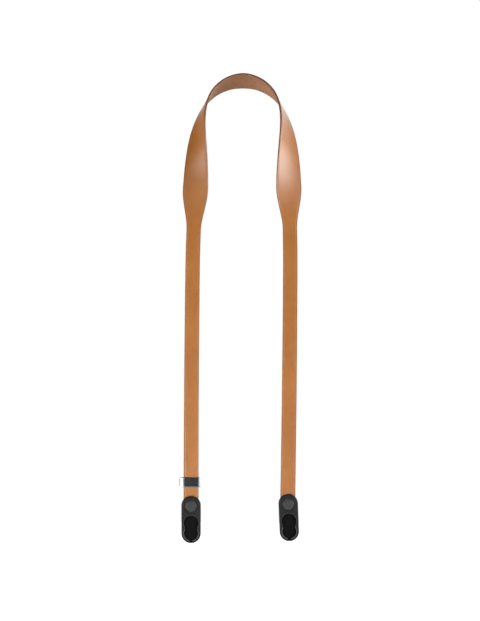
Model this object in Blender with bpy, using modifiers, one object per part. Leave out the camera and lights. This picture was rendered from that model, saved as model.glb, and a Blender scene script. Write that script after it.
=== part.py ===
"""Camera neck strap: one twisted leather strip with a quick-release housing on each end.

Metres, +Z up, +X to the right seen from the front, grain side of the legs towards -Y.
The origin is where the neck carries the strap: the middle of the underside, at the top of the arch.
"""

from math import acos, cos, pi, radians, sin

import bmesh
import bpy
from mathutils import Matrix, Vector

# Leather strip
leather_length = 0.972
leather_thickness = 0.0022
shoulder_width = 0.028
neck_width = 0.0154
end_width = 0.016
shoulder_length = 0.288
taper_length = 0.045
leather_edge_round = 0.0005

# How the strip hangs
hang_run = 0.240
hang_shift = 0.0015
bend_step = 0.005
leg_step = 0.034

# Quick-release housing
housing_width = 0.0206
housing_length = 0.050
housing_depth = 0.0104
housing_edge_round = 0.0016
front_wall = 0.0020
back_wall = 0.0016
side_wall = 0.0017
socket_floor = 0.0018
socket_side_play = 0.0009
left_housing_turn_deg = 0.5
right_housing_turn_deg = 2.7

# Keyhole in the front of the housing
keyhole_travel = 0.0111
upper_lobe_radius = 0.0079
lower_lobe_radius = 0.0074
waist_inset = 0.00095
upper_lobe_chamfer = 0.0003
lower_lobe_chamfer = 0.0007
cord_slot_width = 0.0032
cord_slot_depth = 0.0050

# Sprung tongue in the pocket
tongue_thickness = 0.0014
tongue_setback = 0.0019
tongue_side_gap = 0.0004
hinge_radius = 0.0011
hinge_cover = 0.0012

# Round cap on the front of the housing
disc_low = 0.00045
disc_radius = 0.0062
disc_thickness = 0.0010
disc_crown = 0.0003
disc_edge = 0.0003
recess_depth = 0.0010

# Metal keeper on the left leg
keeper_left_play = 0.0035
keeper_right_play = 0.0010
keeper_height = 0.0107
keeper_wall = 0.0009
keeper_rise = 0.0144
keeper_edge_round = 0.00025

# Gap between pieces that touch on the real strap
seat_gap = 0.0003

# How far a cutter runs past the face that it opens, and the steps of a curve
cutter_reach = 0.002
arc_steps = 20

# The hang, from the top of the arch down one side.
# run: share of hang_run; slope: fall of the strip's line, degrees; rake: turn of that line to the
# front, degrees; roll: turn of the grain side from outward to the front, degrees.
HANG = (
    (0.00, 0.0, 0.0, -29.0),
    (0.07, 22.0, 10.0, -23.0),
    (0.14, 43.0, 16.0, -12.0),
    (0.20, 61.0, 18.0, 0.0),
    (0.27, 75.0, 17.0, 14.0),
    (0.36, 85.0, 14.0, 33.0),
    (0.45, 88.5, 10.5, 50.0),
    (0.54, 89.0, 7.5, 64.0),
    (0.63, 88.0, 5.0, 75.0),
    (0.74, 88.0, 2.0, 85.0),
    (0.85, 88.7, 0.0, 90.0),
    (1.00, 89.8, 0.0, 90.0),
    (1.30, 90.0, 0.0, 90.0),
    (2.00, 90.5, 0.0, 90.0),
)
RUN, SLOPE, RAKE, ROLL = range(4)

# Colours: red, green, blue, roughness, metallic
LEATHER = (0.46, 0.19, 0.065, 0.5, 0.0)
BLACK_PLASTIC = (0.035, 0.036, 0.038, 0.45, 0.0)
DISC_PLASTIC = (0.06, 0.061, 0.064, 0.4, 0.0)
POLISHED_STEEL = (0.62, 0.62, 0.64, 0.12, 1.0)


def start_empty_file():
    """Remove what the file opened with."""
    for item in list(bpy.data.objects):
        bpy.data.objects.remove(item, do_unlink=True)


def new_collection(name):
    collection = bpy.data.collections.new(name)
    bpy.context.scene.collection.children.link(collection)
    return collection


def new_material(name, look):
    material = bpy.data.materials.new(name)
    material.use_nodes = True
    shader = material.node_tree.nodes["Principled BSDF"]
    red, green, blue, roughness, metallic = look
    shader.inputs["Base Color"].default_value = (red, green, blue, 1.0)
    shader.inputs["Roughness"].default_value = roughness
    shader.inputs["Metallic"].default_value = metallic
    material.diffuse_color = (red, green, blue, 1.0)
    return material


def add_object(name, mesh, collection, parent=None):
    item = bpy.data.objects.new(name, mesh)
    collection.objects.link(item)
    item.parent = parent
    return item


def finish(item, look, smooth_angle=35.0):
    """Give a piece its own material and smooth round sides."""
    item.data.materials.append(new_material(item.name, look))
    item.data.shade_smooth()
    item.data.set_sharp_from_angle(angle=radians(smooth_angle))


def as_cutter(item):
    item.hide_render = True
    item.display_type = "WIRE"
    return item


def add_bevel(item, width, segments, angle=40.0):
    bevel = item.modifiers.new("edges", "BEVEL")
    bevel.width = width
    bevel.segments = segments
    bevel.limit_method = "ANGLE"
    bevel.angle_limit = radians(angle)


def add_boolean(item, other, operation="DIFFERENCE"):
    boolean = item.modifiers.new(other.name, "BOOLEAN")
    boolean.operation = operation
    boolean.solver = "EXACT"
    boolean.object = other


def arc(centre, radius, start, end, steps=arc_steps):
    """Points of an arc in the X-Z plane, both ends included."""
    angles = [start + (end - start) * i / steps for i in range(steps + 1)]
    return [(centre[0] + radius * cos(a), centre[1] + radius * sin(a)) for a in angles]


def stadium(width, length):
    """Outline with round ends, its top at zero."""
    radius = width / 2
    top = arc((0, -radius), radius, 0, pi)
    bottom = arc((0, radius - length), radius, pi, 2 * pi)
    return top + bottom


def tongue_outline(half_width, top, bottom_centre):
    """Outline that is square at the top and round at the bottom."""
    square = [(half_width, top), (-half_width, top)]
    return square + arc((0, bottom_centre), half_width, pi, 2 * pi)


def keyhole_outline(upper_centre, lower_centre):
    """Two lobes joined by a straight waist."""
    half_waist = lower_lobe_radius - waist_inset
    upper_turn = acos(half_waist / upper_lobe_radius)
    lower_turn = acos(half_waist / lower_lobe_radius)
    upper = arc((0, upper_centre), upper_lobe_radius, -upper_turn, pi + upper_turn, arc_steps + 8)
    lower = arc((0, lower_centre), lower_lobe_radius, pi - lower_turn, 2 * pi + lower_turn,
                arc_steps + 8)
    return upper + lower


def flat_plate(name, outlines, front, back, centre=(0.0, 0.0)):
    """Mesh of flat outlines in X-Z, filled and carried from the front to the back."""
    curve = bpy.data.curves.new(name, "CURVE")
    curve.dimensions = "2D"
    curve.fill_mode = "BOTH"
    curve.extrude = (back - front) / 2
    for outline in outlines:
        spline = curve.splines.new("POLY")
        spline.points.add(len(outline) - 1)
        for point, (x, z) in zip(spline.points, outline):
            point.co = (x - centre[0], z - centre[1], 0.0, 1.0)
        spline.use_cyclic_u = True
    guide = bpy.data.objects.new(name, curve)
    bpy.context.scene.collection.objects.link(guide)
    depsgraph = bpy.context.evaluated_depsgraph_get()
    mesh = bpy.data.meshes.new_from_object(guide.evaluated_get(depsgraph))
    bpy.data.objects.remove(guide, do_unlink=True)
    weld(mesh)
    mesh.transform(Matrix.Rotation(radians(90), 4, "X"))
    mesh.transform(Matrix.Translation((0, (front + back) / 2, 0)))
    mesh.name = name
    return mesh


def weld(mesh):
    """Join the loose caps of a mesh that was a curve, make each flat one face, and turn them out."""
    shape = bmesh.new()
    shape.from_mesh(mesh)
    bmesh.ops.remove_doubles(shape, verts=shape.verts, dist=1e-6)
    bmesh.ops.dissolve_limit(shape, angle_limit=radians(0.5), verts=shape.verts, edges=shape.edges)
    bmesh.ops.recalc_face_normals(shape, faces=shape.faces)
    shape.to_mesh(mesh)
    shape.free()


def round_bar(name, radius, length, axis, sides=24, top_radius=None):
    """Cylinder or cone about the origin, along X or Y."""
    shape = bmesh.new()
    second = radius if top_radius is None else top_radius
    bmesh.ops.create_cone(shape, cap_ends=True, segments=sides, radius1=radius, radius2=second,
                          depth=length)
    turn = Matrix.Rotation(radians(90), 4, "Y" if axis == "X" else "X")
    bmesh.ops.transform(shape, matrix=turn, verts=shape.verts)
    mesh = bpy.data.meshes.new(name)
    shape.to_mesh(mesh)
    shape.free()
    return mesh


def box_mesh(name, low, high):
    shape = bmesh.new()
    bmesh.ops.create_cube(shape, size=1.0)
    size = [b - a for a, b in zip(low, high)]
    middle = [(a + b) / 2 for a, b in zip(low, high)]
    bmesh.ops.scale(shape, vec=size, verts=shape.verts)
    bmesh.ops.translate(shape, vec=middle, verts=shape.verts)
    mesh = bpy.data.meshes.new(name)
    shape.to_mesh(mesh)
    shape.free()
    return mesh


# The leather strip

def smooth_value(run, column):
    """Read a column of the hang table at any run, with no overshoot between its rows."""
    share = run / hang_run
    last = len(HANG) - 2
    row = max(i for i in range(last + 1) if i == 0 or HANG[i][RUN] <= share)
    low, high = HANG[row], HANG[row + 1]
    gap = high[RUN] - low[RUN]
    t = (share - low[RUN]) / gap
    if t > 1.0:
        return high[column]
    start, end = table_slope(row, column) * gap, table_slope(row + 1, column) * gap
    rise = high[column] - low[column]
    return low[column] + t * start + t * t * (3 * rise - 2 * start - end) + t ** 3 * (start + end - 2 * rise)


def table_slope(row, column):
    """Slope of a column at a row: the harmonic mean of its two sides, or flat at a turn."""
    sides = []
    for i in (row - 1, row):
        if 0 <= i < len(HANG) - 1:
            sides.append((HANG[i + 1][column] - HANG[i][column]) / (HANG[i + 1][RUN] - HANG[i][RUN]))
    if len(sides) == 1:
        return sides[0]
    before, after = sides
    if before * after <= 0:
        return 0.0
    return 2 * before * after / (before + after)


def strip_directions(run, side):
    """Directions along the strip, across it and out of its grain side."""
    slope, rake, roll = (radians(smooth_value(run, column)) for column in (SLOPE, RAKE, ROLL))
    along = Vector((cos(slope) * cos(rake), -sin(rake), -sin(slope) * cos(rake)))
    outward = Vector((sin(slope), 0, cos(slope)))
    frontward = along.cross(outward)
    grain = outward * cos(roll) + frontward * sin(roll)
    across = along.cross(grain)
    mirror = Vector((side, 1, 1))
    return along * mirror, across * mirror, grain * mirror


def strip_width(distance):
    """Width of the cut strip at a distance from its middle."""
    full = shoulder_length / 2
    leg = leather_length / 2 - full - taper_length
    down_leg = min(max((distance - full - taper_length) / leg, 0), 1)
    narrow = neck_width + (end_width - neck_width) * down_leg
    t = min(max((distance - full) / taper_length, 0), 1)
    return shoulder_width + (narrow - shoulder_width) * t * t * (3 - 2 * t)


def side_length(side):
    """Leather on one side of the arch's top: side is 1 on the right, -1 on the left."""
    return leather_length / 2 - side * hang_shift


def strip_runs(side):
    """Distances from the top of the arch, close together in the bends."""
    bends = round(hang_run / bend_step)
    runs = [hang_run * i / bends for i in range(bends + 1)]
    rest = side_length(side) - hang_run
    legs = max(round(rest / leg_step), 1)
    return runs + [hang_run + rest * (i + 1) / legs for i in range(legs)]


def walk_strip(side):
    """Stations down one side: run, middle, and the three directions."""
    place = strip_directions(0.0, side)[2] * (leather_thickness / 2)
    stations = []
    before = 0.0
    for run in strip_runs(side):
        halfway = strip_directions((before + run) / 2, side)[0]
        place = place + halfway * (run - before)
        stations.append((run, place, *strip_directions(run, side)))
        before = run
    return stations


def make_strap(collection):
    left = walk_strip(-1)
    right = walk_strip(1)
    rows = []
    for side, stations in ((-1, reversed(left[1:])), (1, right)):
        for run, place, _, across, _ in stations:
            half = across * (strip_width(abs(run + side * hang_shift)) / 2)
            rows.append((place - half, place, place + half))
    points = [point for row in rows for point in row]
    wide = len(rows[0])
    faces = []
    for r in range(len(rows) - 1):
        for c in range(wide - 1):
            corner = r * wide + c
            faces.append((corner, corner + 1, corner + wide + 1, corner + wide))
    mesh = bpy.data.meshes.new("strap")
    mesh.from_pydata(points, [], faces)
    strap = add_object("strap", mesh, collection)
    shell = strap.modifiers.new("thickness", "SOLIDIFY")
    shell.thickness = leather_thickness
    shell.offset = 0.0
    shell.use_even_offset = True
    add_bevel(strap, leather_edge_round, 2, 60.0)
    finish(strap, LEATHER)
    return strap


def leg_frame(side, above_end):
    """Matrix at a height above a leg's end: X across, Y to the back, Z up along the leg."""
    _, end, along, _, _ = walk_strip(side)[-1]
    up = -along
    back = Vector((0, 1, 0))
    across = back.cross(up).normalized()
    turn = Matrix((across, back, up)).transposed().to_4x4()
    return Matrix.Translation(end + up * above_end) @ turn


# Quick-release housing

front_face = -housing_depth / 2
pocket_front = front_face + front_wall
pocket_back = housing_depth / 2 - back_wall
tongue_front = pocket_front + tongue_setback
hinge_depth = tongue_front + tongue_thickness / 2
pocket_half_width = housing_width / 2 - side_wall
tongue_half_width = pocket_half_width - tongue_side_gap

# Heights in the housing, from its top
lower_lobe = housing_width / 2 - housing_length
upper_lobe = lower_lobe + keyhole_travel
keyhole_top = upper_lobe + upper_lobe_radius
hinge_height = keyhole_top + hinge_cover
pocket_top = hinge_height + hinge_radius + seat_gap
socket_depth = -pocket_top - socket_floor - seat_gap
disc_height = keyhole_top / 2 - disc_low


def housing_cutters(name, cutters, holder):
    """What is cut out of a housing, all in the housing's own frame."""
    over_front = front_face - cutter_reach
    pocket = flat_plate(name + "_pocket_cut",
                        [tongue_outline(pocket_half_width, pocket_top, lower_lobe)],
                        pocket_front, pocket_back)
    keyhole = flat_plate(name + "_keyhole_cut", [keyhole_outline(upper_lobe, lower_lobe)],
                         over_front, pocket_front + seat_gap)
    recess = round_bar(name + "_recess_cut", disc_radius + seat_gap, 2 * recess_depth, "Y", 40)
    recess.transform(Matrix.Translation((0, front_face, disc_height)))
    half_slot = cord_slot_width / 2
    slot = box_mesh(name + "_slot_cut", (-half_slot, over_front, -housing_length - cutter_reach),
                    (half_slot, front_face + cord_slot_depth, lower_lobe))
    meshes = [pocket, keyhole, recess, slot]
    rims = (("upper", upper_lobe_radius, upper_lobe_chamfer, upper_lobe),
            ("lower", lower_lobe_radius, lower_lobe_chamfer, lower_lobe))
    for lobe, radius, chamfer, height in rims:
        reach = 2 * chamfer
        cone = round_bar(f"{name}_{lobe}_rim_cut", radius + chamfer + reach, 2 * reach, "Y", 48,
                         radius + chamfer - reach)
        if cone.vertices[0].co.y > 0:
            cone.transform(Matrix.Rotation(pi, 4, "Z"))
        cone.transform(Matrix.Translation((0, front_face, height)))
        meshes.append(cone)
    return [as_cutter(add_object(mesh.name, mesh, cutters, holder)) for mesh in meshes]


def socket_cutter(name, cutters, side):
    """Slot for the leather, straight along the leg's own line."""
    half_width = end_width / 2 + socket_side_play
    half_depth = leather_thickness / 2 + seat_gap
    mesh = box_mesh(name + "_socket_cut", (-half_width, -half_depth, -seat_gap),
                    (half_width, half_depth, socket_depth + housing_width))
    cutter = as_cutter(add_object(mesh.name, mesh, cutters))
    cutter.matrix_world = leg_frame(side, 0.0)
    return cutter


def make_housing(name, side, turn, collection, cutters):
    mouth = leg_frame(side, socket_depth).to_translation()
    holder = add_object(name + "_frame", None, collection)
    holder.location = mouth
    holder.rotation_euler = (0, -radians(turn), 0)

    plate = flat_plate(name + "_housing", [stadium(housing_width, housing_length)],
                       front_face, -front_face)
    housing = add_object(name + "_housing", plate, collection, holder)
    add_bevel(housing, housing_edge_round, 3)
    for cutter in housing_cutters(name, cutters, holder):
        add_boolean(housing, cutter)
    add_boolean(housing, socket_cutter(name, cutters, side))
    finish(housing, BLACK_PLASTIC)

    make_disc(name + "_disc", holder, collection)
    make_tongue(name + "_tongue", holder, collection, cutters)
    return holder


def make_disc(name, holder, collection):
    """Low crowned cap, turned about its own axis, in the housing's front recess."""
    crown = disc_thickness + disc_crown
    profile = [(0, crown)]
    for i in (1, 2, 3):
        radius = (disc_radius - disc_edge) * i / 3
        profile.append((radius, crown - disc_crown * (radius / disc_radius) ** 2))
    profile += [(disc_radius, disc_thickness - disc_edge), (disc_radius, 0), (0, 0)]
    mesh = bpy.data.meshes.new(name)
    mesh.from_pydata([(x, 0, z) for x, z in profile], [(i, i + 1) for i in range(len(profile) - 1)], [])
    disc = add_object(name, mesh, collection, holder)
    screw = disc.modifiers.new("turned", "SCREW")
    screw.steps = 40
    screw.render_steps = 40
    screw.use_merge_vertices = True
    screw.merge_threshold = 0.00001
    disc.location = (0, front_face + recess_depth - seat_gap, disc_height)
    disc.rotation_euler = (radians(90), 0, 0)
    finish(disc, DISC_PLASTIC)


def make_tongue(name, holder, collection, cutters):
    """Plate behind the keyhole, its origin on the hinge at its upper end."""
    half = tongue_thickness / 2
    plate = flat_plate(name, [tongue_outline(tongue_half_width, hinge_height, lower_lobe)],
                       -half, half, (0.0, hinge_height))
    tongue = add_object(name, plate, collection, holder)
    tongue.location = (0, hinge_depth, hinge_height)
    bar = round_bar(name + "_bar", hinge_radius, 2 * tongue_half_width, "X", 24)
    roll = as_cutter(add_object(name + "_bar", bar, cutters, tongue))
    add_boolean(tongue, roll, "UNION")
    finish(tongue, BLACK_PLASTIC)


# Keeper

def rounded_slot(width, depth):
    """Outline of a flattened tube, seen along the leg."""
    radius = depth / 2
    straight = width / 2 - radius
    right = arc((straight, 0), radius, -pi / 2, pi / 2, 12)
    left = arc((-straight, 0), radius, pi / 2, 3 * pi / 2, 12)
    return right + left


def make_keeper(collection):
    inner_depth = leather_thickness + 2 * seat_gap
    inner_width = end_width + keeper_left_play + keeper_right_play
    outlines = [rounded_slot(inner_width + 2 * keeper_wall, inner_depth + 2 * keeper_wall),
                rounded_slot(inner_width, inner_depth)]
    half = keeper_height / 2
    mesh = flat_plate("keeper", outlines, -half, half)
    mesh.transform(Matrix.Rotation(radians(90), 4, "X"))
    mesh.transform(Matrix.Translation(((keeper_right_play - keeper_left_play) / 2, 0, 0)))
    keeper = add_object("keeper", mesh, collection)
    keeper.matrix_world = leg_frame(-1, socket_depth + keeper_rise)
    add_bevel(keeper, keeper_edge_round, 2, 60.0)
    finish(keeper, POLISHED_STEEL)


def main():
    start_empty_file()
    pieces = new_collection("camera_neck_strap")
    cutters = new_collection("cutters")
    make_strap(pieces)
    make_keeper(pieces)
    make_housing("left", -1, left_housing_turn_deg, pieces, cutters)
    make_housing("right", 1, right_housing_turn_deg, pieces, cutters)


main()
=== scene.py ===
from math import acos, cos, pi, radians, sin

import bmesh
import bpy
from mathutils import Matrix, Vector, noise


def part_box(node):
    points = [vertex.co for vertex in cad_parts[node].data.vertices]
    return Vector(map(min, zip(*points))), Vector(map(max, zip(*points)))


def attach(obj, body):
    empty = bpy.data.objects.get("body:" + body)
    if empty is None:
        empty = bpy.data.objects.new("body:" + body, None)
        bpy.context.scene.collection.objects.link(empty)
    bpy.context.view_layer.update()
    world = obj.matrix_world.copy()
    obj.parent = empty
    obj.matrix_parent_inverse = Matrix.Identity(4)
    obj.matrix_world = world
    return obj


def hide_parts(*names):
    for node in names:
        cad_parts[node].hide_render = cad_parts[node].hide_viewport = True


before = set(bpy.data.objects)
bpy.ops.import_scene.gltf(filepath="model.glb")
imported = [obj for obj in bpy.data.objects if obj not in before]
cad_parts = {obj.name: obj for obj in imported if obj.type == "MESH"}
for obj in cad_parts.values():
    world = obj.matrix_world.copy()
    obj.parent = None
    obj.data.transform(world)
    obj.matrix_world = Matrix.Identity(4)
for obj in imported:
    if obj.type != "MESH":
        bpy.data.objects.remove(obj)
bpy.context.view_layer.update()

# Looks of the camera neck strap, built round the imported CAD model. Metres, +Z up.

sharp_angle = radians(50)

# Leather strip, the same sizes and hang as its CAD solid. A row of the hang is a share of its run,
# then the strip's slope, rake and roll there in degrees.
leather_length = 0.972
leather_thickness = 0.0022
shoulder_width = 0.028
neck_width = 0.0154
end_width = 0.016
shoulder_length = 0.288
taper_length = 0.045
hang_run = 0.240
hang_shift = 0.0015
HANG = (
    (0.00, 0.0, 0.0, -29.0),
    (0.07, 22.0, 10.0, -23.0),
    (0.14, 43.0, 16.0, -12.0),
    (0.20, 61.0, 18.0, 0.0),
    (0.27, 75.0, 17.0, 14.0),
    (0.36, 85.0, 14.0, 33.0),
    (0.45, 88.5, 10.5, 50.0),
    (0.54, 89.0, 7.5, 64.0),
    (0.63, 88.0, 5.0, 75.0),
    (0.74, 88.0, 2.0, 85.0),
    (0.85, 88.7, 0.0, 90.0),
    (1.00, 89.8, 0.0, 90.0),
    (1.30, 90.0, 0.0, 90.0),
    (2.00, 90.5, 0.0, 90.0),
)
RUN, SLOPE, RAKE, ROLL = range(4)

# Detail of the leather. border_point is in grain rounds from the edge, and flesh_start, where the
# inner side's look begins, in flesh rounds from its face.
strip_step = 0.0016
grain_round = 0.0005
flesh_round = 0.0004
crease_inset = 0.0015
crease_depth = 0.00013
crease_half = 0.0004
edge_crown = 0.00005
ripple_height = 0.00009
border_point = 1.7
flesh_start = 0.6
flat_steps = 6
grain_round_steps = 5
flesh_round_steps = 4
paint_steps = 2

# Section of the crease: place as a share of its half width, and share of its depth
CREASE = (
    (-1.00, 0.0),
    (-0.55, 0.6),
    (0.00, 1.0),
    (0.55, 0.6),
    (1.00, 0.0),
)

# Ripple of the leather: noise scale along and across the strip, slice of the noise, and share
RIPPLES = (
    (38, 60, 3.0, 1.0),
    (120, 150, 9.0, 0.5),
)

# Keeper. Each bend is a length, a turn in degrees and a straight stretch after it.
socket_depth = 0.0160
keeper_rise = 0.0144
keeper_height = 0.0107
keeper_wall = 0.0009
keeper_left_play = 0.0035
keeper_right_play = 0.0010
seat_gap = 0.0003
keeper_left_corner = 0.0016
keeper_right_corner = 0.0007
keeper_edge_round = 0.0007
keeper_left_bend = (0.0046, 12.5, 0.0005)
keeper_right_bend = (0.0014, 9.0, 0.0)
keeper_inner_left_bend = (0.0024, 11.0, 0.0)
keeper_inner_right_bend = (0.0002, 5.0, 0.0)
bend_steps = 16
keeper_flat_steps = 24

# Rounded rim of the band, from its outer face to its inner one: share of the wall from the inner
# face, and distance from the rim's end in edge rounds
KEEPER_RIM = (
    (1.00, 2.00),
    (1.00, 1.00),
    (0.96, 0.60),
    (0.87, 0.31),
    (0.74, 0.11),
    (0.58, 0.02),
    (0.45, 0.00),
    (0.25, 0.06),
    (0.08, 0.25),
    (0.00, 0.60),
    (0.00, 1.60),
)

# Quick-release housing, the same sizes as its CAD solid but with a rounder edge. housing_turns are
# degrees by side, and face_ring, a ring just inside the round edge, is in edge rounds.
housing_width = 0.0206
housing_length = 0.050
housing_depth = 0.0104
housing_edge_round = 0.0019
housing_turns = {-1: 0.5, 1: 2.7}
front_wall = 0.0020
back_wall = 0.0016
side_wall = 0.0017
socket_side_play = 0.0009
keyhole_travel = 0.0111
upper_lobe_radius = 0.0079
lower_lobe_radius = 0.0074
waist_inset = 0.00095
upper_lobe_chamfer = 0.0003
lower_lobe_chamfer = 0.0007
cord_slot_width = 0.0032
cord_slot_depth = 0.0050
hinge_radius = 0.0011
hinge_cover = 0.0012
disc_low = 0.00045
disc_radius = 0.0062
recess_depth = 0.0010
cutter_reach = 0.002
arc_steps = 64
edge_steps = 8
face_ring = 1.2
fine_edge = 0.00010
fine_edge_angle = radians(35)

# The disc, from its back edge to the middle of its face: share of its radius, how far the ring is
# shifted down as a share of the radius, and height over its back
DISC = (
    (1.000, 0.000, 0.00000),
    (1.000, 0.000, 0.00030),
    (0.985, 0.000, 0.00040),
    (0.955, 0.000, 0.00042),
    (0.890, -0.070, 0.00105),
    (0.865, -0.075, 0.00122),
    (0.830, -0.075, 0.00130),
    (0.600, -0.060, 0.00132),
    (0.300, -0.030, 0.00133),
)


# Material helpers

def start_material(name):
    material = bpy.data.materials.new(name)
    material.use_nodes = True
    tree = material.node_tree
    return material, tree, tree.nodes["Principled BSDF"]


def add_node(tree, kind, settings=(), values=(), links=()):
    """Add a node, set its options and input values, and link its inputs."""
    node = tree.nodes.new(kind)
    for name, value in settings:
        setattr(node, name, value)
    for socket, value in values:
        node.inputs[socket].default_value = value
    for socket, source in links:
        tree.links.new(source, node.inputs[socket])
    return node


def noise_node(tree, place, scale, detail=3.0, roughness=0.5):
    return add_node(tree, "ShaderNodeTexNoise",
                    values=(("Scale", scale), ("Detail", detail), ("Roughness", roughness)),
                    links=(("Vector", place),))


def noise_of(tree, place, scale, detail=3.0, roughness=0.5):
    return noise_node(tree, place, scale, detail, roughness).outputs["Fac"]


def remap(tree, source, low, high, to_low, to_high):
    """Smooth step between two values as the source goes from low to high."""
    node = add_node(tree, "ShaderNodeMapRange",
                    settings=(("interpolation_type", "SMOOTHSTEP"),),
                    values=(("From Min", low), ("From Max", high),
                            ("To Min", to_low), ("To Max", to_high)),
                    links=(("Value", source),))
    return node.outputs["Result"]


def math_of(tree, operation, first, second):
    node = add_node(tree, "ShaderNodeMath", settings=(("operation", operation),))
    for socket, item in zip(node.inputs, (first, second)):
        if isinstance(item, (int, float)):
            socket.default_value = item
        else:
            tree.links.new(item, socket)
    return node.outputs["Value"]


def mix_colours(tree, share, first, second, blend="MIX"):
    node = add_node(tree, "ShaderNodeMix",
                    settings=(("data_type", "RGBA"), ("blend_type", blend)))
    factor, start, end = node.inputs[0], node.inputs[6], node.inputs[7]
    for socket, item in ((factor, share), (start, first), (end, second)):
        if isinstance(item, (int, float)):
            socket.default_value = item
        elif isinstance(item, tuple):
            socket.default_value = (*item, 1.0)
        else:
            tree.links.new(item, socket)
    return node.outputs[2]


def shaded(tree, colour, brightness):
    return mix_colours(tree, 1.0, colour, brightness, "MULTIPLY")


def bump_of(tree, height, distance, strength):
    node = add_node(tree, "ShaderNodeBump",
                    values=(("Distance", distance), ("Strength", strength)),
                    links=(("Height", height),))
    return node.outputs["Normal"]


def object_place(tree):
    return add_node(tree, "ShaderNodeTexCoord").outputs["Object"]


def stretched(tree, place, scale):
    node = add_node(tree, "ShaderNodeMapping", values=(("Scale", scale),),
                    links=(("Vector", place),))
    return node.outputs["Vector"]


# Values of the materials. A scale is in waves for each metre, along X, Y and Z where it has three.

GRAIN_LIGHT = (0.52, 0.188, 0.034)
GRAIN_DARK = (0.45, 0.151, 0.023)
EDGE_PAINT = (0.230, 0.098, 0.044)
FLESH_LIGHT = (0.33, 0.156, 0.080)
FLESH_DARK = (0.285, 0.130, 0.065)
STEEL_LIGHT = (0.49, 0.50, 0.53)
STEEL_DARK = (0.43, 0.44, 0.47)
# Lighter grey painted on the keyhole's chamfered rim: a painted highlight where light catches it
RIM_HIGHLIGHT = (0.11, 0.11, 0.113)
cloud_scale = 16.0
mottle_scale = 170.0
streak_scale = (60.0, 420.0, 60.0)
pore_scale = 1500.0
cell_scale = 1150.0
cell_bend_scale = 900.0
cell_bend = 0.0007
grain_bump = 0.00003
border_dark = 0.0006
border_plain = 0.0019
border_shade = 0.78
flesh_mottle_scale = 150.0
fibre_scale = (900.0, 2400.0, 900.0)
flesh_bump = 0.00001
spark_scale = 3600.0
flow_scale = 260.0
wear_scale = (500.0, 500.0, 170.0)
rim_inside = 0.0003
rim_outside = 0.0004
# How strongly each lobe's rim gets the painted highlight
upper_rim_highlight = 0.45
lower_rim_highlight = 1.0
hair_scale = (260.0, 260.0, 9000.0)
smear_scale = 320.0
hair_bump = 0.000002


# Leather materials

def attribute(tree, name):
    return add_node(tree, "ShaderNodeAttribute", settings=(("attribute_name", name),))


def voronoi_of(tree, place, scale, feature):
    node = add_node(tree, "ShaderNodeTexVoronoi", settings=(("feature", feature),),
                    values=(("Scale", scale), ("Randomness", 1.0)), links=(("Vector", place),))
    return node.outputs["Distance"]


def weighted(tree, *parts):
    """Sum of sources, each times its share."""
    total = None
    for source, share in parts:
        part = math_of(tree, "MULTIPLY", source, share)
        total = part if total is None else math_of(tree, "ADD", total, part)
    return total


def grain_material():
    """Smooth side and painted edges: soft mottling, pores, fine cells and a darker border."""
    material, tree, shader = start_material("leather_grain")
    strip = attribute(tree, "strip").outputs["Vector"]
    painted = attribute(tree, "painted").outputs["Fac"]
    inset = attribute(tree, "inset").outputs["Fac"]
    clouds = noise_of(tree, strip, cloud_scale, 2.0)
    mottle = noise_of(tree, strip, mottle_scale, 4.0, 0.6)
    streaks = noise_of(tree, stretched(tree, strip, streak_scale), 1.0, 3.0)
    pores = voronoi_of(tree, strip, pore_scale, "F1")
    bend = noise_node(tree, strip, cell_bend_scale).outputs["Color"]
    bent = add_node(tree, "ShaderNodeVectorMath", settings=(("operation", "MULTIPLY_ADD"),),
                    values=((1, (cell_bend, cell_bend, cell_bend)),),
                    links=((0, bend), (2, strip)))
    cells = voronoi_of(tree, bent.outputs["Vector"], cell_scale, "DISTANCE_TO_EDGE")

    tone = weighted(tree, (clouds, 0.50), (mottle, 0.32), (streaks, 0.18))
    colour = mix_colours(tree, remap(tree, tone, 0.36, 0.64, 0.0, 1.0), GRAIN_DARK, GRAIN_LIGHT)
    colour = shaded(tree, colour, remap(tree, pores, 0.0, 0.32, 0.92, 1.0))
    border = remap(tree, inset, border_dark, border_plain, border_shade, 1.0)
    colour = shaded(tree, colour, border)
    colour = mix_colours(tree, painted, colour, EDGE_PAINT)
    tree.links.new(colour, shader.inputs["Base Color"])

    rough = remap(tree, mottle, 0.3, 0.7, 0.33, 0.38)
    rough = math_of(tree, "SUBTRACT", rough, math_of(tree, "MULTIPLY", painted, 0.06))
    tree.links.new(rough, shader.inputs["Roughness"])
    shader.inputs["Specular IOR Level"].default_value = 1.0
    shader.inputs["Coat Weight"].default_value = 0.5
    shader.inputs["Coat Roughness"].default_value = 0.30

    height = weighted(tree, (remap(tree, pores, 0.0, 0.35, 0.0, 1.0), 0.45),
                      (remap(tree, cells, 0.0, 0.10, 0.0, 1.0), 0.55))
    tree.links.new(bump_of(tree, height, grain_bump, 0.5), shader.inputs["Normal"])
    return material


def flesh_material():
    """Inner side: the same hide, duller, with a short brushed nap."""
    material, tree, shader = start_material("leather_flesh")
    strip = attribute(tree, "strip").outputs["Vector"]
    mottle = noise_of(tree, strip, flesh_mottle_scale, 4.0, 0.6)
    fibres = noise_of(tree, stretched(tree, strip, fibre_scale), 1.0, 4.0, 0.6)
    tone = weighted(tree, (fibres, 0.35), (mottle, 0.65))
    colour = mix_colours(tree, remap(tree, tone, 0.30, 0.70, 0.0, 1.0), FLESH_DARK, FLESH_LIGHT)
    tree.links.new(colour, shader.inputs["Base Color"])
    tree.links.new(remap(tree, fibres, 0.3, 0.7, 0.52, 0.64), shader.inputs["Roughness"])
    shader.inputs["Specular IOR Level"].default_value = 0.4
    tree.links.new(bump_of(tree, fibres, flesh_bump, 0.3), shader.inputs["Normal"])
    return material


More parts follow.
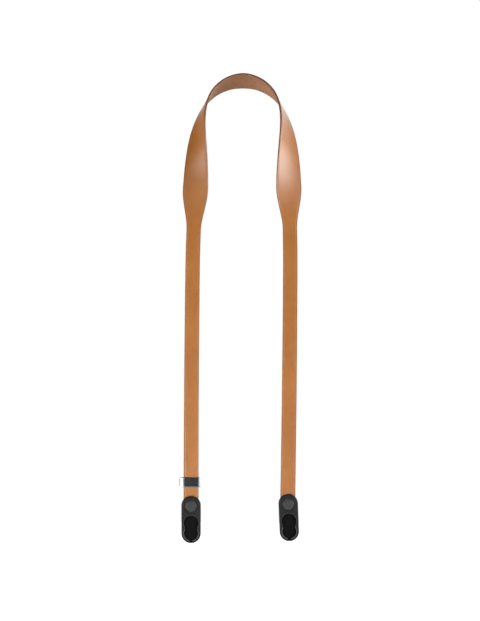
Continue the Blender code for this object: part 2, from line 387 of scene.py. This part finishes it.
def plastic_material(name, dark, light, rough, shine, grain_height, rim_highlight_of=None):
    """Moulded plastic: fine spark texture, faint flow marks, wear and, if asked, a painted
    highlight on a rim.
    """
    material, tree, shader = start_material(name)
    place = object_place(tree)
    fine = noise_of(tree, place, spark_scale, 3.0, 0.65)
    soft = noise_of(tree, place, flow_scale, 3.0)
    wear = noise_of(tree, stretched(tree, place, wear_scale), 1.0, 4.0, 0.6)
    colour = mix_colours(tree, remap(tree, soft, 0.3, 0.7, 0.0, 1.0), dark, light)
    colour = shaded(tree, colour, remap(tree, fine, 0.3, 0.7, 0.9, 1.1))
    if rim_highlight_of is not None:
        # The rim is lightened as a painted highlight, broken up by the wear noise
        rim_highlight = math_of(tree, "MULTIPLY", rim_highlight_of(tree), remap(tree, wear, 0.3, 0.6, 0.6, 1.0))
        colour = mix_colours(tree, rim_highlight, colour, RIM_HIGHLIGHT)
    tree.links.new(colour, shader.inputs["Base Color"])
    tree.links.new(remap(tree, wear, 0.35, 0.65, *rough), shader.inputs["Roughness"])
    shader.inputs["Specular IOR Level"].default_value = shine
    tree.links.new(bump_of(tree, fine, grain_height, 0.5), shader.inputs["Normal"])
    return material


def keyhole_rim_highlight(tree):
    """Painted highlight on the keyhole's chamfered rim, fading to nothing on the face round it."""
    place = attribute(tree, "local").outputs["Vector"]
    reach = None
    for height, radius, chamfer, share in (
            (upper_lobe, upper_lobe_radius, upper_lobe_chamfer, upper_rim_highlight),
            (lower_lobe, lower_lobe_radius, lower_lobe_chamfer, lower_rim_highlight)):
        flat = add_node(tree, "ShaderNodeVectorMath", settings=(("operation", "MULTIPLY_ADD"),),
                        values=((1, (1, 0, 1)), (2, (0, 0, -height))), links=((0, place),))
        away = add_node(tree, "ShaderNodeVectorMath", settings=(("operation", "LENGTH"),),
                        links=((0, flat.outputs["Vector"]),)).outputs["Value"]
        edge = radius + chamfer
        inner = remap(tree, away, radius - rim_inside, radius, 0.0, share)
        outer = remap(tree, away, edge, edge + rim_outside, 1.0, 0.0)
        ring = math_of(tree, "MULTIPLY", inner, outer)
        reach = ring if reach is None else math_of(tree, "MAXIMUM", reach, ring)
    depth = add_node(tree, "ShaderNodeSeparateXYZ", links=(("Vector", place),)).outputs["Y"]
    start, end = front_face + lower_lobe_chamfer, front_face + 2 * lower_lobe_chamfer
    return math_of(tree, "MULTIPLY", reach, remap(tree, depth, start, end, 1.0, 0.0))


def steel_material():
    """Polished steel with hairline scratches along the band and faint smears."""
    material, tree, shader = start_material("polished_steel")
    place = object_place(tree)
    hairs = noise_of(tree, stretched(tree, place, hair_scale), 1.0, 4.0, 0.7)
    smear = noise_of(tree, place, smear_scale, 3.0)
    colour = mix_colours(tree, remap(tree, hairs, 0.3, 0.7, 0.0, 1.0), STEEL_DARK, STEEL_LIGHT)
    tree.links.new(colour, shader.inputs["Base Color"])
    shader.inputs["Metallic"].default_value = 1.0
    tree.links.new(remap(tree, smear, 0.35, 0.65, 0.15, 0.18), shader.inputs["Roughness"])
    tree.links.new(bump_of(tree, hairs, hair_bump, 0.4), shader.inputs["Normal"])
    return material


# The leather strip

def table_slope(row, column):
    """Slope of a column at a row: the harmonic mean of its two sides, or flat at a turn.

    The roll starts flat too, since the two sides of the strap mirror each other at its top."""
    if row == 0 and column == ROLL:
        return 0.0
    sides = []
    for i in (row - 1, row):
        if 0 <= i < len(HANG) - 1:
            low, high = HANG[i], HANG[i + 1]
            sides.append((high[column] - low[column]) / (high[RUN] - low[RUN]))
    if len(sides) == 1:
        return sides[0]
    before, after = sides
    if before * after <= 0:
        return 0.0
    return 2 * before * after / (before + after)


def smooth_value(run, column):
    """Read a column of the hang table at any run, with no overshoot between its rows."""
    share = run / hang_run
    last = len(HANG) - 2
    row = max(i for i in range(last + 1) if i == 0 or HANG[i][RUN] <= share)
    low, high = HANG[row], HANG[row + 1]
    gap = high[RUN] - low[RUN]
    t = (share - low[RUN]) / gap
    if t > 1.0:
        return high[column]
    start, end = table_slope(row, column) * gap, table_slope(row + 1, column) * gap
    rise = high[column] - low[column]
    value = low[column] + t * start + t * t * (3 * rise - 2 * start - end)
    return value + t ** 3 * (start + end - 2 * rise)


def strip_directions(run, side):
    """Directions along the strip, across it and out of its grain side."""
    slope, rake, roll = (radians(smooth_value(run, column)) for column in (SLOPE, RAKE, ROLL))
    along = Vector((cos(slope) * cos(rake), -sin(rake), -sin(slope) * cos(rake)))
    outward = Vector((sin(slope), 0, cos(slope)))
    frontward = along.cross(outward)
    grain = outward * cos(roll) + frontward * sin(roll)
    across = along.cross(grain)
    mirror = Vector((side, 1, 1))
    return along * mirror, across * mirror, grain * mirror


def strip_width(distance):
    """Width of the cut strip at a distance from its middle."""
    full = shoulder_length / 2
    leg = leather_length / 2 - full - taper_length
    down_leg = min(max((distance - full - taper_length) / leg, 0), 1)
    narrow = neck_width + (end_width - neck_width) * down_leg
    t = min(max((distance - full) / taper_length, 0), 1)
    return shoulder_width + (narrow - shoulder_width) * t * t * (3 - 2 * t)


def walk_strip(side):
    """Stations down one side: run, middle, and the three directions."""
    length = leather_length / 2 - side * hang_shift
    steps = round(length / strip_step)
    place = strip_directions(0.0, side)[2] * (leather_thickness / 2)
    stations = []
    before = 0.0
    for i in range(steps + 1):
        run = length * i / steps
        halfway = strip_directions((before + run) / 2, side)[0]
        place = place + halfway * (run - before)
        stations.append((run, place, *strip_directions(run, side)))
        before = run
    return stations


def half_section(half):
    """Half of the strip's section: across, out, painted, and distance in from the edge."""
    top = leather_thickness / 2
    plain = half - crease_inset - 2 * crease_half
    points = [(plain * i / flat_steps, top, 0.0) for i in range(flat_steps + 1)]
    crease = half - crease_inset
    for share, depth in CREASE:
        points.append((crease + crease_half * share, top - crease_depth * depth, 0.0))
    points.append((half - grain_round * border_point, top, 0.0))
    for i in range(grain_round_steps + 1):
        turn = radians(90 - 90 * i / grain_round_steps)
        across = half - grain_round + grain_round * cos(turn)
        painted = max(i - grain_round_steps + paint_steps, 0) / paint_steps
        points.append((across, top - grain_round + grain_round * sin(turn), painted))
    points.append((half + edge_crown, 0.0, 1.0))
    for i in range(flesh_round_steps + 1):
        turn = radians(-90 * i / flesh_round_steps)
        across = half - flesh_round + flesh_round * cos(turn)
        painted = max(paint_steps - i, 0) / paint_steps
        points.append((across, flesh_round - top + flesh_round * sin(turn), painted))
    plain = half - flesh_round * 2
    points += [(plain * i / flat_steps, -top, 0.0) for i in range(flat_steps, -1, -1)]
    return [(across, out, painted, half - across) for across, out, painted in points]


def full_section(half):
    """The closed section, from the middle of the grain side round both edges."""
    right = half_section(half)
    left = [(-across, out, painted, inset) for across, out, painted, inset in right]
    return right + left[-2:0:-1]


def make_strap():
    left = walk_strip(-1)
    right = walk_strip(1)
    rows = [(-1, station) for station in reversed(left[1:])] + [(1, station) for station in right]
    points, strips, paints, insets = [], [], [], []
    for side, (run, place, _, across, grain) in rows:
        along = side * run
        half = strip_width(abs(run + side * hang_shift)) / 2
        for u, v, painted, inset in full_section(half):
            ripple = sum(share * noise.noise(Vector((along * long_scale, u * wide_scale, level)))
                         for long_scale, wide_scale, level, share in RIPPLES)
            lift = v + ripple * ripple_height
            points.append(place + across * u + grain * lift)
            strips.append((along, u, v))
            paints.append(painted)
            insets.append(inset)
    wide = len(full_section(end_width / 2))
    faces = []
    for r in range(len(rows) - 1):
        for c in range(wide):
            d = (c + 1) % wide
            faces.append((r * wide + c, r * wide + d, (r + 1) * wide + d, (r + 1) * wide + c))
    faces.append(tuple(range(wide - 1, -1, -1)))
    last = (len(rows) - 1) * wide
    faces.append(tuple(range(last, last + wide)))
    mesh = bpy.data.meshes.new("strap_leather")
    mesh.from_pydata(points, [], faces)
    mesh.attributes.new("strip", "FLOAT_VECTOR", "POINT").data.foreach_set(
        "vector", [value for strip in strips for value in strip])
    for name, values in (("painted", paints), ("inset", insets)):
        mesh.attributes.new(name, "FLOAT", "POINT").data.foreach_set("value", values)
    mesh.materials.append(grain_material())
    mesh.materials.append(flesh_material())
    highest = flesh_round * flesh_start - leather_thickness / 2
    for face in mesh.polygons:
        if len(face.vertices) == 4 and all(strips[i][2] <= highest for i in face.vertices):
            face.material_index = 1
    return dress(mesh, "strap", "leather", "strap")


def dress(mesh, body, slot, *nodes):
    """Make an object of a mesh that stands for CAD nodes and rides on a body."""
    mesh.shade_smooth()
    mesh.set_sharp_from_angle(angle=sharp_angle)
    item = bpy.data.objects.new(mesh.name, mesh)
    bpy.context.scene.collection.objects.link(item)
    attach(item, body)
    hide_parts(*nodes)
    return item


# Keeper

def leg_frame(side, above_end):
    """Matrix at a height above a leg's end: X across, Y to the back, Z up along the leg."""
    _, end, along, _, _ = walk_strip(side)[-1]
    up = -along
    back = Vector((0, 1, 0))
    across = back.cross(up).normalized()
    turn = Matrix((across, back, up)).transposed().to_4x4()
    return Matrix.Translation(end + up * above_end) @ turn


def bent_end(half_depth, bend):
    """Front outline from the flat to the tip, as places across and out.

    It is a slow bend, a straight stretch and a tight round."""
    bend_length, bend_degrees, straight = bend
    bend_turn = radians(bend_degrees)
    points = []
    x, y = 0.0, half_depth
    for i in range(bend_steps):
        turn = bend_turn * ((i + 0.5) / bend_steps) ** 0.5
        x += bend_length / bend_steps * cos(turn)
        y -= bend_length / bend_steps * sin(turn)
        points.append((x, y))
    for i in range(2):
        x += straight / 2 * cos(bend_turn)
        y -= straight / 2 * sin(bend_turn)
        points.append((x, y))
    radius = y / cos(bend_turn)
    for i in range(1, bend_steps + 1):
        turn = bend_turn + (pi / 2 - bend_turn) * i / bend_steps
        points.append((x + radius * (sin(turn) - sin(bend_turn)), radius * cos(turn)))
    return points


def keeper_loop(left, right, half_depth, left_bend, right_bend):
    """Closed outline of the band, seen along the leg."""
    left_end = bent_end(half_depth, left_bend)
    right_end = bent_end(half_depth, right_bend)
    flat_left, flat_right = left + left_end[-1][0], right - right_end[-1][0]
    flat = [(flat_left + (flat_right - flat_left) * i / keeper_flat_steps, half_depth)
            for i in range(keeper_flat_steps + 1)]
    upper = [(flat_left - x, y) for x, y in reversed(left_end)] + flat
    upper += [(flat_right + x, y) for x, y in right_end]
    return upper + [(x, -y) for x, y in reversed(upper[1:-1])]


def make_keeper():
    half_depth = leather_thickness / 2 + seat_gap
    left = -end_width / 2 - keeper_left_play
    right = end_width / 2 + keeper_right_play
    inner = keeper_loop(left, right, half_depth, keeper_inner_left_bend, keeper_inner_right_bend)
    outer = keeper_loop(left - keeper_wall, right + keeper_wall, half_depth + keeper_wall,
                        keeper_left_bend, keeper_right_bend)
    top = keeper_height / 2
    points = []
    for (ix, iy), (ox, oy) in zip(inner, outer):
        drop = corner_drop(ox - left + keeper_wall, keeper_left_corner)
        drop += corner_drop(right + keeper_wall - ox, keeper_right_corner)
        section = [(share, drop + keeper_edge_round * rise - top) for share, rise in KEEPER_RIM]
        section += [(share, -z) for share, z in reversed(section)]
        points += [(ix + (ox - ix) * share, iy + (oy - iy) * share, z) for share, z in section]
    wide = 2 * len(KEEPER_RIM)
    count = len(inner)
    faces = []
    for r in range(count):
        s = (r + 1) % count
        for c in range(wide):
            d = (c + 1) % wide
            faces.append((r * wide + c, s * wide + c, s * wide + d, r * wide + d))
    mesh = bpy.data.meshes.new("keeper_band")
    mesh.from_pydata(points, [], faces)
    mesh.transform(leg_frame(-1, socket_depth + keeper_rise))
    mesh.materials.append(steel_material())
    return dress(mesh, "strap", "polished_steel", "keeper")


def corner_drop(distance, radius):
    """How far the band's rim is taken in at a distance from its end, for a round corner."""
    if distance >= radius:
        return 0.0
    return radius - (radius ** 2 - (radius - distance) ** 2) ** 0.5


# Quick-release housings. Their own frame: X across, Y to the back, Z up from the housing's top.

front_face = -housing_depth / 2
pocket_front = front_face + front_wall
pocket_back = housing_depth / 2 - back_wall
pocket_half_width = housing_width / 2 - side_wall
lower_lobe = housing_width / 2 - housing_length
upper_lobe = lower_lobe + keyhole_travel
keyhole_top = upper_lobe + upper_lobe_radius
pocket_top = keyhole_top + hinge_cover + hinge_radius + seat_gap
disc_height = keyhole_top / 2 - disc_low


def arc(centre, radius, start, end, steps=arc_steps):
    """Points of an arc in the X-Z plane, both ends included."""
    angles = [start + (end - start) * i / steps for i in range(steps + 1)]
    return [(centre[0] + radius * cos(a), centre[1] + radius * sin(a)) for a in angles]


def circle(centre, radius):
    return arc(centre, radius, 0, 2 * pi, 2 * arc_steps)[:-1]


def stadium(inset):
    """Outline of the housing, taken in all round by an inset."""
    radius = housing_width / 2 - inset
    top = arc((0, -housing_width / 2), radius, 0, pi)
    return top + arc((0, lower_lobe), radius, pi, 2 * pi)


def pocket_outline():
    square = [(pocket_half_width, pocket_top), (-pocket_half_width, pocket_top)]
    return square + arc((0, lower_lobe), pocket_half_width, pi, 2 * pi)


def keyhole_outline():
    """Two lobes joined by a straight waist."""
    half_waist = lower_lobe_radius - waist_inset
    upper_turn = acos(half_waist / upper_lobe_radius)
    lower_turn = acos(half_waist / lower_lobe_radius)
    upper = arc((0, upper_lobe), upper_lobe_radius, -upper_turn, pi + upper_turn)
    return upper + arc((0, lower_lobe), lower_lobe_radius, pi - lower_turn, 2 * pi + lower_turn)


def loft(name, rings):
    """Closed mesh through rings of (x, y, z) points, each as long as the next, with flat ends."""
    wide = len(rings[0])
    faces = [tuple(range(wide)), tuple(range((len(rings) - 1) * wide, len(rings) * wide))[::-1]]
    for r in range(len(rings) - 1):
        for c in range(wide):
            d = (c + 1) % wide
            faces.append((r * wide + c, (r + 1) * wide + c, (r + 1) * wide + d, r * wide + d))
    mesh = bpy.data.meshes.new(name)
    mesh.from_pydata([point for ring in rings for point in ring], [], faces)
    shape = bmesh.new()
    shape.from_mesh(mesh)
    bmesh.ops.recalc_face_normals(shape, faces=shape.faces)
    shape.to_mesh(mesh)
    shape.free()
    return mesh


def plate(name, outline, front, back):
    return loft(name, [[(x, y, z) for x, z in outline] for y in (front, back)])


def cone(name, height, front_radius, front, back_radius, back):
    """Round cutter along Y about a height."""
    rings = []
    for radius, y in ((front_radius, front), (back_radius, back)):
        rings.append([(x, y, z) for x, z in circle((0, height), radius)])
    return loft(name, rings)


def add_object(mesh, matrix):
    item = bpy.data.objects.new(mesh.name, mesh)
    item.matrix_world = matrix
    bpy.context.scene.collection.objects.link(item)
    return item


def housing_body():
    """Plain closed body with finely rounded edges, front and back."""
    rows = [(housing_edge_round * face_ring, 0.0)]
    for i in range(edge_steps + 1):
        turn = pi / 2 * (1 - i / edge_steps)
        rows.append((housing_edge_round * (1 - cos(turn)), housing_edge_round * (1 - sin(turn))))
    levels = [(inset, front_face + down) for inset, down in rows]
    levels += [(inset, -front_face - down) for inset, down in reversed(rows)]
    return loft("housing_body", [[(x, y, z) for x, z in stadium(inset)] for inset, y in levels])


def housing_cuts(side, frame_matrix):
    """Objects for everything that is cut out of a housing."""
    over = front_face - cutter_reach
    under = -housing_length - cutter_reach
    half_slot = cord_slot_width / 2
    slot = [(half_slot, lower_lobe), (-half_slot, lower_lobe),
            (-half_slot, under), (half_slot, under)]
    meshes = [plate("pocket", pocket_outline(), pocket_front, pocket_back),
              plate("keyhole", keyhole_outline(), over, pocket_front + seat_gap),
              plate("slot", slot, over, front_face + cord_slot_depth),
              cone("recess", disc_height, disc_radius + seat_gap, over,
                   disc_radius + seat_gap, front_face + recess_depth)]
    for name, height, radius, chamfer in (
            ("upper_rim", upper_lobe, upper_lobe_radius, upper_lobe_chamfer),
            ("lower_rim", lower_lobe, lower_lobe_radius, lower_lobe_chamfer)):
        reach = 2 * chamfer
        meshes.append(cone(name, height, radius + chamfer + reach, front_face - reach,
                           radius + chamfer - reach, front_face + reach))
    cuts = [add_object(mesh, frame_matrix) for mesh in meshes]
    half_width = end_width / 2 + socket_side_play
    half_depth = leather_thickness / 2 + seat_gap
    mouth = [(half_width, -seat_gap), (half_width, housing_length), (-half_width, housing_length),
             (-half_width, -seat_gap)]
    cuts.append(add_object(plate("socket", mouth, -half_depth, half_depth), leg_frame(side, 0.0)))
    return cuts


def housing_frame(name, side):
    """Matrix of a housing's own frame, read from the box of its CAD solid."""
    low, high = (Vector(corner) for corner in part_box(name))
    turn = Matrix.Rotation(-radians(housing_turns[side]), 4, "Y")
    down = Matrix.Translation((0, 0, housing_length / 2))
    return Matrix.Translation((low + high) / 2) @ turn @ down


def cut_mesh(item, cuts, name):
    """Mesh of an object with cutters taken out of it and a fine round on its sharp edges."""
    for cut in cuts:
        boolean = item.modifiers.new(cut.name, "BOOLEAN")
        boolean.operation = "DIFFERENCE"
        boolean.solver = "EXACT"
        boolean.object = cut
    edges = item.modifiers.new("fine_edges", "BEVEL")
    edges.width = fine_edge
    edges.segments = 2
    edges.limit_method = "ANGLE"
    edges.angle_limit = fine_edge_angle
    depsgraph = bpy.context.evaluated_depsgraph_get()
    mesh = bpy.data.meshes.new_from_object(item.evaluated_get(depsgraph))
    mesh.name = name
    for used in [item] + cuts:
        bpy.data.objects.remove(used, do_unlink=True)
    return mesh


def make_housing(name, side, material):
    frame_matrix = housing_frame(name + "_housing", side)
    body = add_object(housing_body(), frame_matrix)
    mesh = cut_mesh(body, housing_cuts(side, frame_matrix), name + "_shell")
    store_local(mesh)
    mesh.transform(frame_matrix)
    mesh.materials.clear()
    mesh.materials.append(material)
    dress(mesh, "strap", "black_plastic", name + "_housing")
    return frame_matrix


def store_local(mesh):
    """Keep each point's place in the housing's own frame for its material."""
    values = [value for point in mesh.vertices for value in point.co]
    mesh.attributes.new("local", "FLOAT_VECTOR", "POINT").data.foreach_set("vector", values)


def make_disc(name, frame_matrix, material):
    """Low cap whose face sits a little below its middle, so its upper side slopes."""
    back = front_face + recess_depth - seat_gap
    rings = []
    for share, shift, height in DISC:
        centre = (0, disc_height + disc_radius * shift)
        rings.append([(x, back - height, z) for x, z in circle(centre, disc_radius * share)])
    mesh = loft(name + "_cap", rings)
    mesh.transform(frame_matrix)
    mesh.materials.append(material)
    dress(mesh, "strap", "disc_plastic", name + "_disc")


def make_ends():
    # The shell's keyhole rim gets a painted highlight
    shell = plastic_material("black_plastic", dark=(0.018, 0.018, 0.019),
                             light=(0.023, 0.023, 0.024), rough=(0.42, 0.52), shine=0.22,
                             grain_height=0.00002, rim_highlight_of=keyhole_rim_highlight)
    # The tongue's plastic is darker and duller than the shell's: painted shade for the pocket it
    # sits in
    tongue = plastic_material("tongue_plastic", dark=(0.006, 0.006, 0.006),
                              light=(0.008, 0.008, 0.008), rough=(0.50, 0.60), shine=0.08,
                              grain_height=0.00002)
    cap = plastic_material("disc_plastic", dark=(0.052, 0.053, 0.054),
                           light=(0.064, 0.065, 0.066), rough=(0.30, 0.38), shine=0.3,
                           grain_height=0.00001)
    for name, side in (("left", -1), ("right", 1)):
        frame_matrix = make_housing(name, side, shell)
        make_disc(name, frame_matrix, cap)
        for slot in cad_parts[name + "_tongue"].material_slots:
            slot.material = tongue


# Studio

floor_height = -0.60
floor_half = 1.6
floor_back = 2.3
view_distance = 4.0
view_centre = Vector((-0.0012, -0.0323, -0.2444))
view_lean = 0.00908
frame_height = 0.658
sensor_size = 24.0
floor_glow = 1.2

# The world's light by direction, in shares that multiply. A row is two places along an axis, then
# the share at each of them, with a smooth step between.
FRONT_SHARE = (-0.985, -0.80, 0.06, 1.72)
ABOVE_SHARE = (0.0, 0.45, 1.0, 0.08)
BELOW_SHARE = (-0.40, -0.10, 0.30, 1.0)
LEFT_SHARE = (-0.75, -0.15, 0.22, 1.0)
BACK_LEFT_SHARE = (0.40, 0.70, 1.0, 0.5)
back_left_x = -0.80
back_left_y = 0.60

# Softboxes: name, place, point faced, width, height, radiance, and whether reflections show it
middle = (0.0, -0.02, -0.20)
SOFTBOXES = (
    ("right_softbox", (1.12, -0.52, 0.0), middle, 1.0, 0.50, 4.2, True),
    ("left_softbox", (-1.10, -0.48, -0.06), middle, 0.60, 0.55, 2.1, True),
    ("low_left_softbox", (-0.42, -0.45, -0.53), (0.0, 0.0, -0.40), 0.45, 0.35, 3.6, True),
    ("arch_softbox", (-0.74, 0.24, -0.48), (0.0, -0.01, 0.0), 0.5, 0.4, 12.0, False),
    ("low_front_softbox", (0.15, -0.80, -0.50), (0.03, 0.0, -0.42), 0.7, 0.15, 6.0, False),
)


def make_floor():
    near, far = floor_back - 2 * floor_half, floor_back
    corners = [(-floor_half, near, floor_height), (floor_half, near, floor_height),
               (floor_half, far, floor_height), (-floor_half, far, floor_height)]
    mesh = bpy.data.meshes.new("floor")
    mesh.from_pydata(corners, [], [(0, 1, 2, 3)])
    material, tree, shader = start_material("floor_paper")
    place = object_place(tree)
    colour = mix_colours(tree, noise_of(tree, place, 9.0), (0.90, 0.90, 0.895), (0.93, 0.93, 0.93))
    tree.links.new(colour, shader.inputs["Base Color"])
    shader.inputs["Roughness"].default_value = 0.9
    shader.inputs["Emission Color"].default_value = (1.0, 1.0, 1.0, 1.0)
    seen = add_node(tree, "ShaderNodeLightPath").outputs["Is Camera Ray"]
    tree.links.new(math_of(tree, "MULTIPLY", seen, floor_glow), shader.inputs["Emission Strength"])
    mesh.materials.append(material)
    floor = bpy.data.objects.new("floor", mesh)
    floor.visible_diffuse = False
    bpy.context.scene.collection.objects.link(floor)


def make_world():
    """Plain white for the camera, and for all other rays a light that differs by direction."""
    world = bpy.data.worlds.new("studio")
    world.use_nodes = True
    tree = world.node_tree
    tree.nodes.clear()
    seen = add_node(tree, "ShaderNodeBackground",
                    values=(("Color", (1, 1, 1, 1)), ("Strength", 1.0)))
    way = add_node(tree, "ShaderNodeSeparateXYZ",
                   links=(("Vector", add_node(tree, "ShaderNodeTexCoord").outputs["Generated"]),))
    x, y, z = way.outputs
    back_left = weighted(tree, (x, back_left_x), (y, back_left_y))
    strength = remap(tree, y, *FRONT_SHARE)
    for axis, share in ((z, ABOVE_SHARE), (z, BELOW_SHARE), (x, LEFT_SHARE),
                        (back_left, BACK_LEFT_SHARE)):
        strength = math_of(tree, "MULTIPLY", strength, remap(tree, axis, *share))
    light = add_node(tree, "ShaderNodeBackground", values=(("Color", (1, 1, 1, 1)),),
                     links=(("Strength", strength),))
    path = add_node(tree, "ShaderNodeLightPath")
    mix = add_node(tree, "ShaderNodeMixShader",
                   links=((0, path.outputs["Is Camera Ray"]),
                          (1, light.outputs["Background"]), (2, seen.outputs["Background"])))
    add_node(tree, "ShaderNodeOutputWorld", links=(("Surface", mix.outputs["Shader"]),))
    bpy.context.scene.world = world


def add_softbox(name, place, aim, width, height, radiance, mirrored):
    """Area light of a given brightness, turned to face a point, seen in reflections or not."""
    light = bpy.data.lights.new(name, "AREA")
    light.shape = "RECTANGLE"
    light.size = width
    light.size_y = height
    light.energy = radiance * pi * width * height
    item = bpy.data.objects.new(name, light)
    item.location = place
    item.rotation_euler = (Vector(aim) - Vector(place)).to_track_quat("-Z", "Y").to_euler()
    item.visible_camera = False
    item.visible_glossy = mirrored
    bpy.context.scene.collection.objects.link(item)


def make_lights():
    for row in SOFTBOXES:
        add_softbox(*row)


def make_camera():
    camera = bpy.data.cameras.new("camera")
    camera.sensor_width = sensor_size
    camera.lens = sensor_size * view_distance / frame_height
    item = bpy.data.objects.new("camera", camera)
    right = Vector((1, 0, view_lean)).normalized()
    up = Vector((-view_lean, 0, 1)).normalized()
    turn = Matrix((right, up, Vector((0, -1, 0)))).transposed().to_4x4()
    place = view_centre - Vector((0, view_distance, 0))
    item.matrix_world = Matrix.Translation(place) @ turn
    bpy.context.scene.collection.objects.link(item)
    bpy.context.scene.camera = item


make_strap()
make_keeper()
make_ends()
make_floor()
make_world()
make_lights()
make_camera()
bpy.context.scene.view_settings.view_transform = "Standard"
